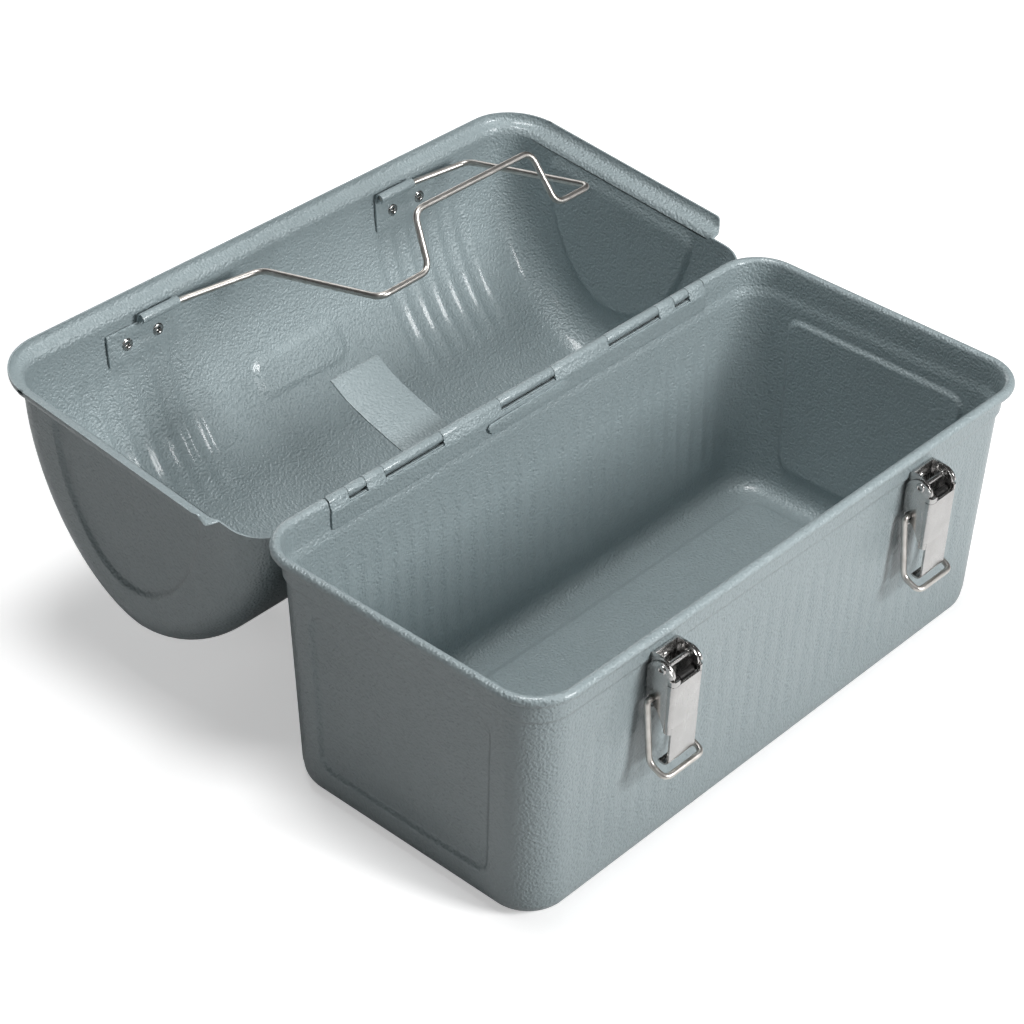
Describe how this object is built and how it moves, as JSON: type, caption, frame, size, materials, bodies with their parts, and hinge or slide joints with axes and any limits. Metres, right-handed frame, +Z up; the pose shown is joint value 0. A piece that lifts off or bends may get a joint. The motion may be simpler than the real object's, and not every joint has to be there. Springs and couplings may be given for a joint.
{
  "type": "hinged steel box",
  "caption": "Domed sheet steel box with a hinged lid, draw latches, a folding handle, and a wire and strap inside the lid that hold a bottle.",
  "frame": {"origin": "centre of the base underside, with the lid wide open", "axes": "+X along the hinge, -Y towards the latches, +Z up"},
  "size_m": [0.328, 0.3208, 0.1723],
  "materials": {
    "paint": "light blue-grey hammertone enamel with a fine orange peel",
    "nickel": "bright nickel plate",
    "wire": "drawn stainless wire",
    "spring_steel": "black oxide",
    "grip": "matt black, fine texture"
  },
  "bodies": {
    "base": {"base_tub": "paint", "base_hinge_leaf": "paint", "hinge_pin": "wire", "latch_bracket_left": "nickel", "latch_bracket_rivets_left": "nickel", "latch_pivot_pin_left": "nickel", "latch_spring_axle_left": "spring_steel", "latch_spring_bush_left": "spring_steel", "latch_spring_left": "spring_steel", "latch_bracket_right": "nickel", "latch_bracket_rivets_right": "nickel", "latch_pivot_pin_right": "nickel", "latch_spring_axle_right": "spring_steel", "latch_spring_bush_right": "spring_steel", "latch_spring_right": "spring_steel"},
    "lid": {"lid_shell": "paint", "lid_hinge_leaf": "paint", "bottle_strap": "paint", "strap_rivets": "nickel", "wire_clip_left": "paint", "clip_rivets_left": "nickel", "handle_bracket_left": "nickel", "handle_rivets_left": "nickel", "wire_clip_right": "paint", "clip_rivets_right": "nickel", "handle_bracket_right": "nickel", "handle_rivets_right": "nickel"},
    "lever_left": {"latch_lever_left": "nickel"},
    "lever_right": {"latch_lever_right": "nickel"},
    "bail_left": {"latch_bail_left": "wire"},
    "bail_right": {"latch_bail_right": "wire"},
    "wire": {"bottle_wire": "wire"},
    "handle": {"handle_rod": "nickel", "handle_grip": "grip"}
  },
  "joints": [
    {"name": "lid_hinge", "type": "hinge", "parent": "base", "child": "lid", "pos_m": [0, 0.0752, 0.1184], "axis": [1, 0, 0], "range_deg": [0, 174.6]},
    {"name": "latch_lever_left_pivot", "type": "hinge", "parent": "base", "child": "lever_left", "pos_m": [-0.0831, -0.0802, 0.1048], "axis": [1, 0, 0], "range_deg": [-120, 0]},
    {"name": "latch_lever_right_pivot", "type": "hinge", "parent": "base", "child": "lever_right", "pos_m": [0.0831, -0.0802, 0.1048], "axis": [1, 0, 0], "range_deg": [-120, 0]},
    {"name": "latch_bail_left_pivot", "type": "hinge", "parent": "lever_left", "child": "bail_left", "pos_m": [-0.0831, -0.0759, 0.0885], "axis": [-1, 0, 0], "range_deg": [0, 151.2]},
    {"name": "latch_bail_right_pivot", "type": "hinge", "parent": "lever_right", "child": "bail_right", "pos_m": [0.0831, -0.0759, 0.0885], "axis": [-1, 0, 0], "range_deg": [0, 151.2]},
    {"name": "bottle_wire_pivot", "type": "hinge", "parent": "lid", "child": "wire", "pos_m": [0, 0.22367, 0.1252], "axis": [1, 0, 0], "range_deg": [-40, 65]},
    {"name": "handle_pivot", "type": "hinge", "parent": "lid", "child": "handle", "pos_m": [0, 0.15824, 0.01777], "axis": [1, 0, 0], "range_deg": [-140, 0]}
  ]
}
